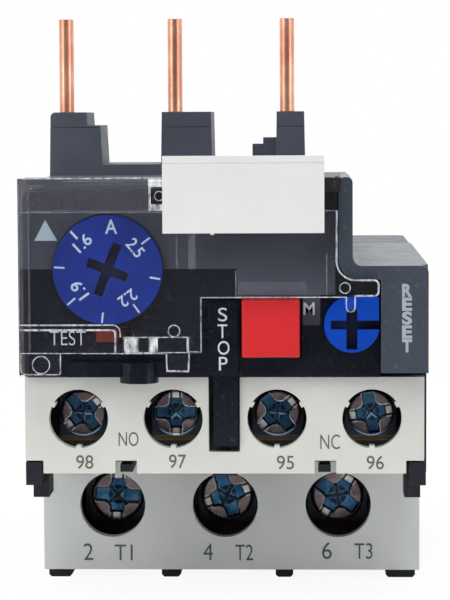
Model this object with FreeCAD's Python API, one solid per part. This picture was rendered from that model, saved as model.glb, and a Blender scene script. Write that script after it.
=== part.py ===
import FreeCAD, Part
import math
import os

# Plug-in thermal overload relay, in millimetres.
# X runs to the right across the front, Y from the front to the back, Z up. The origin is on the
# resting plane of the feet, at the middle of the width and of the depth.

V = FreeCAD.Vector

# ---- overall planes -------------------------------------------------------------------------
HALF_WIDTH = 22.5          # the relay is 45 mm wide
REAR = 35.0                # back face
LABEL_FRONT = -35.0        # front of the label plate, the foremost face
COVER_FRONT = -34.2        # front of the clear cover
COVER_WALL = 1.0           # its wall
FRAME_FRONT = -33.0        # face of the side frame
PANEL_FRONT = -30.5        # face of the control panel
PANEL_BACK = -28.0         # seam between panel and mechanism shell
AUX_FRONT = -29.5          # face of the auxiliary terminal cover
SPLIT = -8.0               # seam between mechanism shell and rear body
POWER_FRONT = -11.4        # face of the power terminal cover
WALL = 1.4                 # general moulding wall

FOOT = 1.0                 # height of the feet
AUX_BOTTOM = 15.35         # underside of the mechanism shell
AUX_TOP = 26.2             # upper edge of the auxiliary terminal cover
SHELF = 27.5               # floor of the mechanism chamber
BODY_TOP = 37.6            # top of the rear body, underside of the low shelf
LOW_TOP = 38.8             # top of the low shelf
MECH_TOP = 47.2            # top of the mechanism shell
COVER_TOP = 48.6           # top of the clear cover
ROOF_REAR = 48.15          # top of the clear cover at its hinge
FRAME_TOP = 48.5           # top of the side frame's tall wall
SHROUD_TOP = 55.8          # top of the pin shrouds
PIN_TOP = 67.3             # tip of the plug-in pins

# ---- rows of repeated pieces ------------------------------------------------------------------
POWER_X = (-14.2, -0.7, 12.8)          # power terminals, 13.5 mm apart
POWER_Z = 8.85
POWER_HOLE = 3.9                       # screwdriver hole radius
AUX_X = (-16.4, -5.8, 5.8, 16.4)       # auxiliary terminals 98, 97, 95, 96
AUX_NAMES = ("98", "97", "95", "96")
AUX_Z = 21.5
AUX_HOLE = 3.31
PIN_X = (-20.7, -7.2, 6.7)             # plug-in pins
PIN_Y = 3.0
PIN_RADIUS = 0.9
NECK = 0.6                             # half width of the square neck of a pin inside its shroud
PARTITION_X = (-7.45, 6.05)            # walls between the three thermal chambers
PARTITION = 0.6                        # half their thickness

# ---- terminal hardware --------------------------------------------------------------------------
POWER_SCREW = {"head": 3.2, "shank": 2.0, "front": -4.4, "seat": -2.2, "end": 5.0, "slot": 0.9}
AUX_SCREW = {"head": 2.67, "shank": 1.75, "front": -24.0, "seat": -22.2, "end": -16.5, "slot": 0.75}
POWER_PLATE = (-1.2, 0.4)              # front and back of a load terminal plate
AUX_PLATE = (-21.4, -20.2)             # front and back of an auxiliary terminal strip
SLIP = 0.06                            # running clearance of pins and shafts

# ---- controls -----------------------------------------------------------------------------------
DIAL_X, DIAL_Z, DIAL_RADIUS = -12.8, 38.35, 6.07
DIAL_LEAN = 21.5                       # how far the cross recess leans clockwise, degrees
STOP_X = (2.0, 8.4)
STOP_Z = (28.7, 35.05)
STOP_STEM_X = 6.4
STOP_STEM_Z = 32.4
KNOB_X, KNOB_Z, KNOB_RADIUS = 14.1, 32.3, 3.04
TEST_X = (-14.2, -11.8)
TEST_Z = (30.3, 31.75)
SPRING_WALL = -24.2                    # front of the wall that the return springs push against
HINGE_Y, HINGE_Z = -11.0, 46.9         # hinge line of the clear cover
HINGE_PIN = 0.6
CRANK_X, CRANK_Y = 17.5, -13.0         # pivot of the trip lever
BAR_Y = (0.6, 2.6)                     # trip bar
BAR_Z = (33.0, 35.4)


# ---- small makers -------------------------------------------------------------------------------
def block(x, y, z):
    """A box given by its (low, high) pairs."""
    return Part.makeBox(x[1] - x[0], y[1] - y[0], z[1] - z[0], V(x[0], y[0], z[0]))


def rod_x(radius, x, y, z):
    """A cylinder along X over the pair x."""
    return Part.makeCylinder(radius, x[1] - x[0], V(x[0], y, z), V(1, 0, 0))


def rod_y(radius, x, y, z):
    """A cylinder along Y over the pair y."""
    return Part.makeCylinder(radius, y[1] - y[0], V(x, y[0], z), V(0, 1, 0))


def rod_z(radius, x, y, z):
    """A cylinder along Z over the pair z."""
    return Part.makeCylinder(radius, z[1] - z[0], V(x, y, z[0]), V(0, 0, 1))


def rounded_wire(corners, place):
    """A closed outline of (u, v) or (u, v, radius) corners; place turns (u, v) into a point."""
    marks = []
    count = len(corners)
    for i, corner in enumerate(corners):
        here = V(corner[0], corner[1], 0)
        radius = corner[2] if len(corner) > 2 else 0.0
        if radius == 0.0:
            marks.append((here, None, here))
            continue
        before = V(corners[i - 1][0], corners[i - 1][1], 0)
        after = V(corners[(i + 1) % count][0], corners[(i + 1) % count][1], 0)
        back = (before - here).normalize()
        ahead = (after - here).normalize()
        half = back.getAngle(ahead) / 2
        middle = (back + ahead).normalize()
        reach = radius / math.tan(half)
        arc_point = here + middle * (radius / math.sin(half) - radius)
        marks.append((here + back * reach, arc_point, here + ahead * reach))
    edges = []
    for i, (start, arc_point, end) in enumerate(marks):
        if arc_point is not None:
            edges.append(Part.Arc(place(start), place(arc_point), place(end)).toShape())
        following = marks[(i + 1) % count][0]
        if (following - end).Length > 1e-6:
            edges.append(Part.LineSegment(place(end), place(following)).toShape())
    return Part.Wire(edges)


def plate_y(corners, y):
    """An (x, z) outline drawn through the pair y."""
    wire = rounded_wire(corners, lambda p: V(p.x, y[0], p.y))
    return Part.Face(wire).extrude(V(0, y[1] - y[0], 0))


def plate_z(corners, z):
    """An (x, y) outline drawn through the pair z."""
    wire = rounded_wire(corners, lambda p: V(p.x, p.y, z[0]))
    return Part.Face(wire).extrude(V(0, 0, z[1] - z[0]))


def plate_x(corners, x):
    """A (y, z) outline drawn through the pair x."""
    wire = rounded_wire(corners, lambda p: V(x[0], p.x, p.y))
    return Part.Face(wire).extrude(V(x[1] - x[0], 0, 0))


def join(first, *others):
    """One clean solid from touching or overlapping solids."""
    return first.fuse(list(others)).removeSplitter()


def around(middle, half):
    """The pair that reaches half to each side of middle."""
    return (middle - half, middle + half)


# ---- enclosure ----------------------------------------------------------------------------------
def base_housing():
    """Rear body: three thermal chambers in a row, terminal pockets at the front, four feet."""
    outer = HALF_WIDTH - 0.2
    inner = outer - 1.6
    recessed = HALF_WIDTH - 1.2
    corner = 1.5
    body = plate_z(
        [(-outer, SPLIT), (outer, SPLIT), (outer, REAR, corner), (-outer, REAR, corner)],
        (FOOT, BODY_TOP),
    )
    edges = (-inner, *PARTITION_X, inner)
    floor_top = FOOT + 1.4
    bulkhead = (POWER_PLATE[1], POWER_PLATE[1] + 1.2)
    cuts = []
    for i in range(3):
        left = edges[i] + (PARTITION if i else 0.0)
        right = edges[i + 1] - (PARTITION if i < 2 else 0.0)
        cuts.append(block((left, right), (bulkhead[1], REAR - 1.6), (floor_top, BODY_TOP + 1)))
        cuts.append(block((left, right), (SPLIT - 1, bulkhead[1]), (POWER_Z + 4.05, BODY_TOP + 1)))
        cuts.append(block((left, right), (SPLIT - 1, bulkhead[0]), (-1, POWER_Z + 5)))
        cuts.append(block(around(POWER_X[i], 2.6), (bulkhead[0] - 1, bulkhead[1] + 1), around(POWER_Z, 2.6)))
    # the terminal cover's side walls lie in these two recesses
    for side in (-1, 1):
        recess = sorted((side * recessed, side * (outer + 1)))
        cuts.append(block(recess, (SPLIT - 1, -3.0), (-1, AUX_BOTTOM)))
    # the trip bar lies across the chambers in a notch of each partition
    for x in PARTITION_X:
        cuts.append(block(around(x, 1), (BAR_Y[0] - 0.1, BAR_Y[1] + 7.0), (BAR_Z[0] - 0.1, BODY_TOP + 1)))
    body = body.cut(cuts)
    feet = []
    for x in ((-22.0, -19.2), (-8.4, -6.1), (5.3, 7.4), (18.5, 22.0)):
        foot = plate_y(
            [(x[0], FOOT + 0.01), (x[0], 0.3), (x[0] + 0.3, 0),
             (x[1] - 0.3, 0), (x[1], 0.3), (x[1], FOOT + 0.01)],
            (POWER_FRONT + 0.6, REAR - 1.0),
        )
        feet.append(foot.cut(block((-30, 30), (-12, SPLIT), (FOOT, 2))))
    return join(body, *feet)


def pin_housing():
    """Upper body in slate grey: a hollow block with three raised shrouds for the pins."""
    front, back = SPLIT, 14.0
    right = 14.1
    outer = HALF_WIDTH - 0.2
    roof = 49.4
    shroud_y = (-1.0, 9.0)
    body = block((-HALF_WIDTH + 0.1, 9.6), (shroud_y[0], back), (LOW_TOP, roof))
    lower = block((-HALF_WIDTH, right), (front, back), (BODY_TOP, COVER_TOP - 0.6))
    tray = plate_z(
        [(-outer, back), (right, back), (right, 15.1),
         (outer, 15.1), (outer, REAR, 1.5), (-outer, REAR, 1.5)],
        (BODY_TOP, LOW_TOP),
    )
    tall_left = plate_y(
        [(-22.5, 48), (-22.35, SHROUD_TOP, 0.6), (-17.9, SHROUD_TOP),
         (-17.8, 54.2), (-16.2, 54.2), (-15.9, 48)],
        shroud_y,
    )
    middle = plate_y([(-8.8, 48), (-8.65, SHROUD_TOP), (-2.6, SHROUD_TOP), (-2.45, 48)], shroud_y)
    right_shroud = plate_y([(5.35, 48), (5.45, SHROUD_TOP), (8.8, SHROUD_TOP), (8.95, 48)], shroud_y)
    key_high = plate_y([(3.7, 48), (3.75, 52.6), (5.35, 52.6), (5.35, 48)], (1.0, 7.0))
    key_low = plate_y([(2.4, 48), (2.4, 51.8), (3.75, 51.8), (3.75, 48)], (2.0, 6.0))
    body = join(body, lower, tray, tall_left, middle, right_shroud, key_high, key_low)
    hollow = block((-HALF_WIDTH + 1.6, right - WALL), (front + WALL, back - WALL), (BODY_TOP - 1, 46.4))
    bore = NECK + SLIP
    bores = [block(around(x, bore), around(PIN_Y, bore), (42.9, SHROUD_TOP + 1)) for x in PIN_X]
    # a shallow line runs round each shroud below its top
    grooves = []
    for x in ((-22.6, -15.9), (-8.9, -2.4), (5.2, 9.0)):
        ring = block(x, (shroud_y[0] - 0.1, shroud_y[0] + 0.12), (53.85, 54.0))
        grooves.append(ring)
    return body.cut([hollow, *bores, *grooves])


def mechanism_housing():
    """Middle shell: the mechanism chamber above, four auxiliary terminal pockets below."""
    side = HALF_WIDTH
    upper_right = 21.25
    tall_right = 12.55
    shell = plate_y(
        [(-side, AUX_BOTTOM), (side, AUX_BOTTOM), (side, 26.9), (upper_right, 26.9), (upper_right, BODY_TOP),
         (tall_right, BODY_TOP), (tall_right, MECH_TOP), (-side + 0.2, MECH_TOP, 0.8), (-side + 0.2, 26.9),
         (-side, 26.9)],
        (PANEL_BACK, SPLIT),
    )
    deep = (PANEL_BACK - 1, SPLIT - WALL)
    step = MECH_TOP - 1.9
    cuts = [
        block((-side + 1.6, tall_right - WALL), deep, (SHELF, step - WALL)),
        block((-side + 1.6, tall_right - WALL), (PANEL_BACK - 1, HINGE_Y - 4.0), (SHELF, MECH_TOP - WALL)),
        block((0, upper_right - 1.25), deep, (SHELF, BODY_TOP - WALL)),
        # the hinge of the clear cover lies in a step of the top
        block((-30, tall_right + 1), (HINGE_Y - 2.6, SPLIT + 1), (step, MECH_TOP + 1)),
        # the trip lever's rear arm passes here
        block((15.8, 19.8), (SPLIT - 3, SPLIT + 1), (31.8, 36.2)),
    ]
    edges = (-side + 1.4, -11.1, 0.0, 11.1, side - 1.4)
    cross = (AUX_PLATE[1], AUX_PLATE[1] + 1.2)
    for i in range(4):
        left = edges[i] + (0.6 if i else 0.0)
        right = edges[i + 1] - (0.6 if i < 3 else 0.0)
        pocket = (AUX_BOTTOM - 1, SHELF - 1.2)
        cuts.append(block((left, right), (PANEL_BACK - 1, cross[0]), pocket))
        cuts.append(block((left, right), (cross[1], SPLIT - WALL), pocket))
        cuts.append(block(around(AUX_X[i], 2.1), (cross[0] - 1, cross[1] + 1), around(AUX_Z, 2.1)))
        cuts.append(block(around(AUX_X[i], 0.9), around(sum(AUX_PLATE) / 2, 0.65), (SHELF - 2, SHELF + 1)))
    shell = shell.cut(cuts)
    roof = BODY_TOP - WALL
    spring_wall = block((3.7, upper_right - 1), (SPRING_WALL, SPRING_WALL + 1.2), (SHELF - 0.5, roof + 0.5))
    spring_wall = spring_wall.cut([
        block(around(STOP_STEM_X, 1.3 + SLIP), (-26, -20), around(STOP_STEM_Z, 1.3 + SLIP)),
        block(around(KNOB_X, 1.5 + SLIP), (-26, -20), around(KNOB_Z, 1.5 + SLIP)),
    ])
    guide = block((-2.0, 2.4), (-26.0, -9.0), (SHELF - 0.5, SHELF + 0.6))
    ears = []
    barrel = 1.2
    flat = 0.5
    for x in ((-21.2, -19.2), (-6.5, -3.0), (10.2, 12.2)):
        ear = plate_x(
            [(HINGE_Y - barrel, step - 0.2), (HINGE_Y + barrel, step - 0.2),
             (HINGE_Y + barrel, HINGE_Z + flat), (HINGE_Y + flat, HINGE_Z + barrel),
             (HINGE_Y - flat, HINGE_Z + barrel), (HINGE_Y - barrel, HINGE_Z + flat)],
            x,
        )
        ears.append(ear)
    lugs = []
    for side_sign in (-1, 1):
        upper = sorted((side_sign * 20.6, side_sign * 22.4))
        lower = sorted((side_sign * 20.1, side_sign * 21.9))
        lugs.append(block(upper, (-29.3, -24.0), (14.0, 16.6)))
        lugs.append(block(lower, (-26.5, -22.0), (12.2, 16.0)))
    hook = (-28.9, PANEL_BACK + 0.5)
    hooks = [block(around(x, 0.7), hook, (AUX_BOTTOM + 0.1, 16.3)) for x in (-11.1, 11.1)]
    key = block((-1.5, 1.3), (PANEL_BACK, -26.5), (14.9, AUX_BOTTOM + 0.5))
    shell = join(shell, spring_wall, guide, *ears, *lugs, *hooks, key)
    pin_holes = rod_z(0.82, CRANK_X, CRANK_Y, (SHELF - 0.8, roof + 0.8))
    hinge_hole = rod_x(HINGE_PIN + 0.02, (-20.4, 11.4), HINGE_Y, HINGE_Z)
    return shell.cut([pin_holes, hinge_hole])


def front_panel():
    """Control panel: dial recess, STOP bar with its long tongue, button and knob openings, latch."""
    left = -HALF_WIDTH + 0.3
    low = 26.4
    top = 47.0
    sheet = plate_y(
        [(left, low), (17.2, low), (17.2, 37.2), (12.5, 37.2, 2.3), (12.5, top), (left, top, 0.8)],
        (PANEL_FRONT, PANEL_BACK),
    )
    back = (PANEL_FRONT + 1.5, PANEL_BACK + 1)
    relief = [
        block((left + 1.2, 11.3), back, (low + 1.2, top - 1.2)),
        block((11.0, 16.0), back, (low + 1.2, 36.0)),
    ]
    sheet = sheet.cut(relief)
    bar = block((-1.7, 1.55), (-32.2, PANEL_FRONT + 0.5), (26.7, 34.7))
    tongue = block((-1.25, 1.48), (-29.9, PANEL_BACK), (18.5, 27.0))
    strip = block((-17.3, -6.4), (-31.5, PANEL_FRONT + 0.5), (26.4, 28.05))
    latch_middle = -9.45
    latch = plate_z(
        [(latch_middle - 2.15, PANEL_FRONT + 0.3), (latch_middle - 2.15, -33.0, 2.0),
         (latch_middle + 2.15, -33.0, 2.0), (latch_middle + 2.15, PANEL_FRONT + 0.3)],
        (25.8, 28.05),
    )
    spring_stop = block((-7.2, -6.0), (PANEL_BACK - 1.2, PANEL_BACK + 1.4), (29.6, 32.4))
    panel = join(sheet, bar, tongue, strip, latch, spring_stop)
    through = (-34, -27)
    cuts = [
        rod_y(DIAL_RADIUS + 0.1, DIAL_X, (-34, PANEL_FRONT + 0.65), DIAL_Z),
        rod_y(1.5 + SLIP, DIAL_X, through, DIAL_Z),
        block((STOP_X[0] - 0.2, STOP_X[1] + 0.2), through, (STOP_Z[0] - 0.2, STOP_Z[1] + 0.2)),
        rod_y(KNOB_RADIUS + 0.1, KNOB_X, through, KNOB_Z),
        block((TEST_X[0] - 0.15, TEST_X[1] + 1.95), (-34, -28.5), (TEST_Z[0] - 0.1, TEST_Z[1] + 0.1)),
    ]
    return panel.cut(cuts)


def marking_plate():
    """Thin dark grey plate on the panel, cut out round the dial and stepped above the buttons."""
    sheet = plate_y(
        [(-22.0, 38.4), (1.5, 38.4), (1.5, 35.5), (12.3, 35.5), (12.3, 44.9), (-22.0, 44.9)],
        (PANEL_FRONT - 0.4, PANEL_FRONT),
    )
    return sheet.cut(rod_y(DIAL_RADIUS + 0.1, DIAL_X, (-34, -29), DIAL_Z))


def side_frame():
    """Grey side frame: tall thin wall, low shelf, and the RESET block at the right."""
    right = HALF_WIDTH
    face = plate_y(
        [(12.65, FRAME_TOP, 0.7), (14.2, FRAME_TOP, 0.6), (14.2, LOW_TOP, 1.0), (right, LOW_TOP, 0.8),
         (right, 27.0), (17.3, 27.0), (17.3, 37.3, 0.3), (12.65, 37.3, 2.2)],
        (FRAME_FRONT, SPLIT),
    )
    cuts = [
        block((18.5, 21.3), (FRAME_FRONT + 1.2, SPLIT + 1), (26, BODY_TOP)),
        block((12, 21.3), (PANEL_BACK, SPLIT + 1), (26, BODY_TOP)),
        block((12, 14.2), (HINGE_Y - 2.8, SPLIT + 1), (BODY_TOP - 1, 50)),
    ]
    shelf = plate_z(
        [(14.2, FRAME_FRONT + 2), (right, FRAME_FRONT + 2), (right, 15.0, 1.0), (14.2, 15.0)],
        (BODY_TOP, LOW_TOP),
    )
    return join(face.cut(cuts), shelf)


def aux_terminal_cover():
    """Cream cover: four screwdriver holes with centring nubs, tongue slot, notches and windows."""
    left, right = -HALF_WIDTH + 0.1, HALF_WIDTH - 0.3
    notch = 2.0
    slot = (-1.8, 1.64)
    slot_bottom = 17.8
    step = 16.8
    sheet = plate_y(
        [(left, AUX_TOP), (slot[0], AUX_TOP), (slot[0], slot_bottom), (slot[1], slot_bottom),
         (slot[1], AUX_TOP), (right, AUX_TOP), (right, step), (right - notch, step),
         (right - notch, AUX_BOTTOM), (12.4, AUX_BOTTOM), (12.4, step), (10.0, step), (10.0, AUX_BOTTOM),
         (-9.9, AUX_BOTTOM), (-9.9, step), (-12.3, step), (-12.3, AUX_BOTTOM),
         (left + notch, AUX_BOTTOM), (left + notch, step), (left, step)],
        (AUX_FRONT, PANEL_BACK),
    )
    sheet = sheet.cut([rod_y(AUX_HOLE, x, (-31, -26), AUX_Z) for x in AUX_X])
    nubs = []
    for x in AUX_X:
        nub = block(around(x, 0.3), (AUX_FRONT, PANEL_BACK), (AUX_Z + AUX_HOLE - 0.3, AUX_Z + AUX_HOLE + 0.3))
        nubs.extend(turned(nub, angle, x, AUX_Z) for angle in (60, 180, 300))
    return join(sheet, *nubs)


def power_terminal_cover():
    """Grey cover of the power terminals: a shallow tray with three driver holes, two side walls."""
    low, top = FOOT, AUX_BOTTOM - 0.05
    rim = 1.15
    face_back = POWER_FRONT + 1.5
    tray = block((-HALF_WIDTH, HALF_WIDTH), (POWER_FRONT, SPLIT), (low, top))
    tray = tray.cut(block(around(0, HALF_WIDTH - rim), (face_back, SPLIT + 1), (low + rim, top - rim)))
    walls = [
        block((-HALF_WIDTH, -HALF_WIDTH + rim), (SPLIT - 0.5, -3.05), (low + 0.4, top)),
        block((HALF_WIDTH - rim, HALF_WIDTH), (SPLIT - 0.5, -3.05), (low + 0.4, top)),
    ]
    cover = join(tray, *walls)
    return cover.cut([rod_y(POWER_HOLE, x, (POWER_FRONT - 1, face_back + 1), POWER_Z) for x in POWER_X])


def clear_cover():
    """Hinged clear cover: face with foot, clip and tab, top sheet, side walls, hinge barrels."""
    back = COVER_FRONT + COVER_WALL
    left, right = -HALF_WIDTH + 0.1, 12.5
    face = plate_y(
        [(left, COVER_TOP, 0.8), (right, COVER_TOP, 0.5), (right, 37.2, 2.2), (17.0, 37.2, 0.45),
         (17.0, 35.6, 0.45), (14.5, 35.6), (14.5, 33.9), (13.4, 33.9), (13.4, 35.5),
         (-2.3, 35.5), (-2.3, 29.3), (-3.7, 29.3), (-3.7, 27.2), (-6.3, 27.2), (-6.3, 29.3),
         (-18.0, 29.3), (-18.0, 26.8), (left + 0.1, 26.8)],
        (COVER_FRONT, back),
    )
    wall_back = PANEL_FRONT - 0.6
    sheet = 0.8
    roof = plate_x(
        [(back - 0.5, COVER_TOP - sheet), (back - 0.5, COVER_TOP),
         (HINGE_Y, ROOF_REAR), (HINGE_Y, ROOF_REAR - sheet)],
        (left + 0.8, right - 0.5),
    )
    walls = [
        block((left, left + COVER_WALL), (back - 0.2, wall_back), (29.4, COVER_TOP - 0.8)),
        block((right - COVER_WALL, right), (back - 0.2, wall_back), (39.5, COVER_TOP - 0.6)),
        block((left + 0.2, right - 0.4), (back - 0.2, wall_back), (COVER_TOP - COVER_WALL, COVER_TOP - 0.2)),
    ]
    clip = block((-11.1, -3.5), (COVER_FRONT, -31.2), (29.3, 31.0))
    prism = block((-8.4, -6.5), (back - 0.2, -31.6), (44.9, COVER_TOP - 0.2))
    cover = join(face, roof, *walls, clip, prism)
    barrels = []
    for x in ((-19.0, -6.7), (-2.8, 10.0)):
        barrels.append(rod_x(1.2, x, HINGE_Y, HINGE_Z))
        barrels.append(block(x, (HINGE_Y - 1.2, HINGE_Y), (HINGE_Z, ROOF_REAR)))
    cover = join(cover, *barrels)
    ear_room = [
        block(x, (HINGE_Y - 1.5, HINGE_Y + 2), (MECH_TOP - 2, COVER_TOP + 1))
        for x in ((-23, -19.0), (-6.7, -2.8), (10.0, 13))
    ]
    bore = rod_x(HINGE_PIN + SLIP, (-20, 11), HINGE_Y, HINGE_Z)
    upper_band = block((-30, 30), (COVER_FRONT - 1, COVER_FRONT + 0.3), (44.9, 60))
    band_corner = 1.2
    groove = plate_y(
        [(left - 1, 32.3), (-11.4, 32.3, band_corner), (-11.4, 29.0), (-11.8, 29.0), (-11.8, 31.85, 0.9),
         (left - 1, 31.85)],
        (COVER_FRONT - 1, COVER_FRONT + 0.35),
    )
    windows = [
        block((-10.9, -9.4), (-33.4, -31.0), (29.6, 30.7)),
        block((-8.2, -7.2), (-33.4, -31.0), (29.6, 30.7)),
    ]
    return cover.cut([*ear_room, bore, upper_band, groove, *windows])


def label_plate():
    """White label plate, clipped on the clear cover, with a lip along its top."""
    width = (-6.5, 11.1)
    section = [
        (LABEL_FRONT, 42.5), (LABEL_FRONT, 50.9),
        (-33.8, 50.9), (-33.8, 49.4), (-31.0, 49.4), (-31.0, 48.65), (COVER_FRONT, 48.65),
        (COVER_FRONT, 42.5),
    ]
    plate = plate_x(section, width)
    nub = block((-1.3, -0.9), (LABEL_FRONT + 0.2, COVER_FRONT), (42.3, 42.6))
    crease = plate_x([(LABEL_FRONT - 1, 50.0), (LABEL_FRONT + 0.12, 50.12), (LABEL_FRONT - 1, 50.24)], (-8, 13))
    return join(plate, nub).cut(crease)


def hinge_pin():
    """Steel pin of the clear cover."""
    return rod_x(HINGE_PIN, (-20.3, 11.3), HINGE_Y, HINGE_Z)


# ---- controls -----------------------------------------------------------------------------------
def turned(shape, angle, x, z):
    """The shape turned clockwise, as seen from the front, about the line along Y through (x, z)."""
    moved = shape.copy()
    moved.rotate(V(x, 0, z), V(0, 1, 0), angle)
    return moved


def setting_dial():
    """Blue dial disc with a leaning cross recess for the screwdriver."""
    front, back = -31.6, PANEL_FRONT + 0.6
    disc = rod_y(DIAL_RADIUS, DIAL_X, (front, back), DIAL_Z)
    depth = (front - 1, front + 0.9)
    long_arm = block(around(DIAL_X, 0.52), depth, around(DIAL_Z, 3.05))
    short_arm = block(around(DIAL_X, 2.35), depth, around(DIAL_Z, 0.5))
    return disc.cut([turned(arm, DIAL_LEAN, DIAL_X, DIAL_Z) for arm in (long_arm, short_arm)])


def dial_cam():
    """Dial shaft with the eccentric cam that sets the trip lever."""
    shaft = rod_y(1.5, DIAL_X, (PANEL_FRONT + 0.6, -26.3), DIAL_Z)
    cam = rod_y(2.7, DIAL_X + 0.9, (-28.8, -26.3), DIAL_Z)
    return join(shaft, cam)


def stop_button():
    """Red stop button: square cap with rounded edges on a round stem."""
    front, back = FRAME_FRONT, PANEL_FRONT + 0.6
    cap = block(STOP_X, (front, back), STOP_Z)
    face_edges = [edge for edge in cap.Edges if edge.BoundBox.YMax < front + 0.01]
    cap = cap.makeChamfer(0.2, face_edges)
    stem = rod_y(1.3, STOP_STEM_X, (back - 0.5, -19.0), STOP_STEM_Z)
    return join(cap, stem)


def mode_knob():
    """Blue knob: round with one square corner, cross slot, and a bored hub behind."""
    front, thin = FRAME_FRONT, -32.3
    ear_x = KNOB_X + 2.95
    ear_z = KNOB_Z + 3.1
    disc = rod_y(KNOB_RADIUS, KNOB_X, (front, PANEL_BACK), KNOB_Z)
    ear = plate_y(
        [(KNOB_X, KNOB_Z), (ear_x, KNOB_Z + 0.73), (ear_x, ear_z, 0.25), (KNOB_X, ear_z),
         (KNOB_X - 0.6, KNOB_Z + 2.9)],
        (front, thin),
    )
    knob = join(disc, ear)
    knob = knob.cut([
        block(around(KNOB_X, 0.6), (front - 1, front + 1.3), (KNOB_Z - 2.7, KNOB_Z + 1.7)),
        block((KNOB_X - 2.3, KNOB_X), (front - 1, front + 0.7), around(KNOB_Z, 0.5)),
        block((KNOB_X, KNOB_X + 4), (front - 1, front + 1.3), around(KNOB_Z, 0.5)),
        rod_y(1.5 + SLIP, KNOB_X, (front + 2.2, PANEL_BACK + 1), KNOB_Z),
    ])
    return knob


def reset_stem():
    """Stem of the reset knob with the collar that its spring pushes against."""
    stem = rod_y(1.5, KNOB_X, (FRAME_FRONT + 2.3, -17.0), KNOB_Z)
    collar = rod_y(2.7, KNOB_X, (PANEL_BACK + 0.05, PANEL_BACK + 0.65), KNOB_Z)
    return join(stem, collar)


def test_slider():
    """Red-brown test slider: a small tab on a plate behind the panel."""
    tab = block(TEST_X, (-31.2, -28.6), TEST_Z)
    plate = block((-15.2, -11.0), (-28.9, -26.6), (29.4, 32.6))
    return join(tab, plate)


def spring(radius, wire, start, length, turns, axis):
    """A compression spring along axis, its square wire bent in short straight steps."""
    steps = 6
    half = wire / 2
    rise = (length - wire) / (turns * steps)
    points = []
    for step in range(turns * steps + 1):
        angle = 2 * math.pi * step / steps
        points.append(V(radius * math.cos(angle), radius * math.sin(angle), half + step * rise))
    path = Part.makePolygon(points)
    corners = [V(radius + u * half, 0, half + w * half) for u, w in ((-1, -1), (1, -1), (1, 1), (-1, 1))]
    section = Part.makePolygon([*corners, corners[0]])
    right_corner = 1
    coil = path.makePipeShell([section], True, True, right_corner)
    turn = FreeCAD.Rotation(V(0, 0, 1), V(*axis))
    coil.Placement = FreeCAD.Placement(V(*start), turn).multiply(coil.Placement)
    return coil


def stop_spring():
    start = PANEL_FRONT + 0.65
    return spring(1.9, 0.4, (STOP_STEM_X, start, STOP_STEM_Z), SPRING_WALL - start - 0.05, 4, (0, 1, 0))


def reset_spring():
    start = PANEL_BACK + 0.7
    return spring(2.1, 0.4, (KNOB_X, start, KNOB_Z), SPRING_WALL - start - 0.05, 3, (0, 1, 0))


def test_spring():
    return spring(0.9, 0.25, (-10.95, PANEL_BACK + 0.25, 31.0), 3.7, 4, (1, 0, 0))


# ---- power path ---------------------------------------------------------------------------------
def pin_conductor(i):
    """Copper plug-in pin with the bent leg that leads to the heater."""
    leg_x = POWER_X[i] - 2.9
    jog = (43.0, 44.2)
    pin = rod_z(PIN_RADIUS, PIN_X[i], PIN_Y, (SHROUD_TOP, PIN_TOP))
    neck = block(around(PIN_X[i], NECK), around(PIN_Y, NECK), (jog[0], SHROUD_TOP))
    across = block((PIN_X[i], leg_x + 0.5), around(PIN_Y, 0.7), jog)
    back = block(around(leg_x, 0.5), (PIN_Y - 0.7, 9.0), jog)
    down = block(around(leg_x, 0.5), (7.0, 9.0), (27.5, jog[1]))
    return join(pin, neck, across, back, down)


def bimetal_strip(i):
    """Upright bimetal strip whose free upper end bends towards the trip bar's finger."""
    return block(around(POWER_X[i], 0.4), (6.0, 12.0), (POWER_Z + 5.25, BAR_Z[0] + 1.4))


def heater_winding(i):
    """Heater ribbon wound round the bimetal strip, turn above turn."""
    middle = POWER_X[i]
    x = around(middle, 1.3)
    y = (5.0, 13.0)
    ribbon = 0.5
    thick = 0.3
    low, rise, turns = 16.5, 2.9, 4
    pieces = []
    for turn in range(turns):
        z = low + turn * rise
        pieces.append(block((x[0], x[0] + thick), y, (z, z + ribbon)))
        pieces.append(block(x, (y[1] - thick, y[1]), (z, z + ribbon)))
        pieces.append(block((x[1] - thick, x[1]), y, (z, z + ribbon)))
        if turn < turns - 1:
            pieces.append(block((middle + 0.2, x[1]), (y[0], y[0] + thick), (z, z + ribbon)))
            pieces.append(block((middle - 0.2, middle + 0.2), (y[0], y[0] + thick), (z, z + rise + ribbon)))
            pieces.append(block((x[0], middle), (y[0], y[0] + thick), (z + rise, z + rise + ribbon)))
    last = low + (turns - 1) * rise
    pieces.append(block((x[0], x[0] + thick), (y[0], y[0] + 0.8), (POWER_Z + 5.25, low + ribbon)))
    tail_top = 28.4
    pieces.append(block((x[1] - thick, x[1]), (y[0], y[0] + 0.8), (last, tail_top)))
    pieces.append(block((middle - 2.4, x[1]), (y[0], y[0] + 0.8), (tail_top - ribbon, tail_top)))
    pieces.append(block((middle - 2.4, middle - 2.1), (y[0], 8.5), (tail_top - ribbon, tail_top)))
    return join(*pieces)


def load_terminal(i):
    """Load terminal plate in front of its bulkhead, with the leg that carries the bimetal strip."""
    middle = POWER_X[i]
    plate = block(around(middle, 4.2), POWER_PLATE, (3.4, POWER_Z + 5.25))
    leg = block(around(middle, 2.0), (POWER_PLATE[0], 12.0), (POWER_Z + 4.05, POWER_Z + 5.25))
    hole = rod_y(POWER_SCREW["shank"] + 0.08, middle, (-3, 3), POWER_Z)
    return join(plate, leg).cut(hole)


def power_clamp(i):
    """Square clamping plate that travels with its screw."""
    plate = block(around(POWER_X[i], 3.7), (-2.2, POWER_PLATE[0] - 0.05), around(POWER_Z, 3.7))
    return plate.cut(rod_y(POWER_SCREW["shank"] + SLIP, POWER_X[i], (-3, 0), POWER_Z))


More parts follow.
